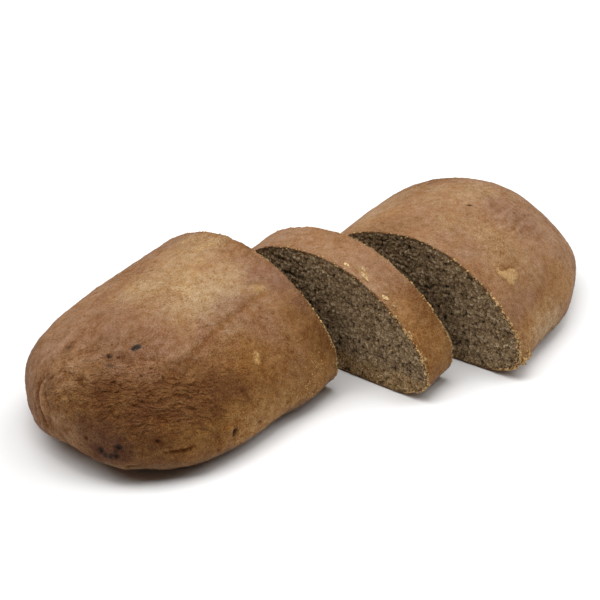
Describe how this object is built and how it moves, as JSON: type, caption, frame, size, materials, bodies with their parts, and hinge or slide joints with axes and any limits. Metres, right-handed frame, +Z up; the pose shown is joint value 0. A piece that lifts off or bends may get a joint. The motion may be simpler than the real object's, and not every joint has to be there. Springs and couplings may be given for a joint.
{
  "type": "cut rye loaf",
  "caption": "Long, low, rounded dark rye loaf with a thin tan-brown crust, cut across into a long end, a slice and a short end set out in a staggered row.",
  "frame": {"origin": "on the surface that the loaf lies on, under the middle of the three pieces' outline", "axes": "+X along the loaf from the long end's tip towards the short end, +Y across it towards the side that the pieces slide away from, +Z up"},
  "size_m": [0.2958, 0.186, 0.0634],
  "materials": {
    "crust": "thin baked bread crust, tan on the crown and darker brown low on the sides, finely grained and matt with a faint sheen",
    "crumb": "close grey-brown rye crumb with small pores, rough and matt"
  },
  "bodies": {
    "root": {"left_chunk": "crust", "slice": "crumb", "right_chunk": "crust"}
  },
  "joints": []
}
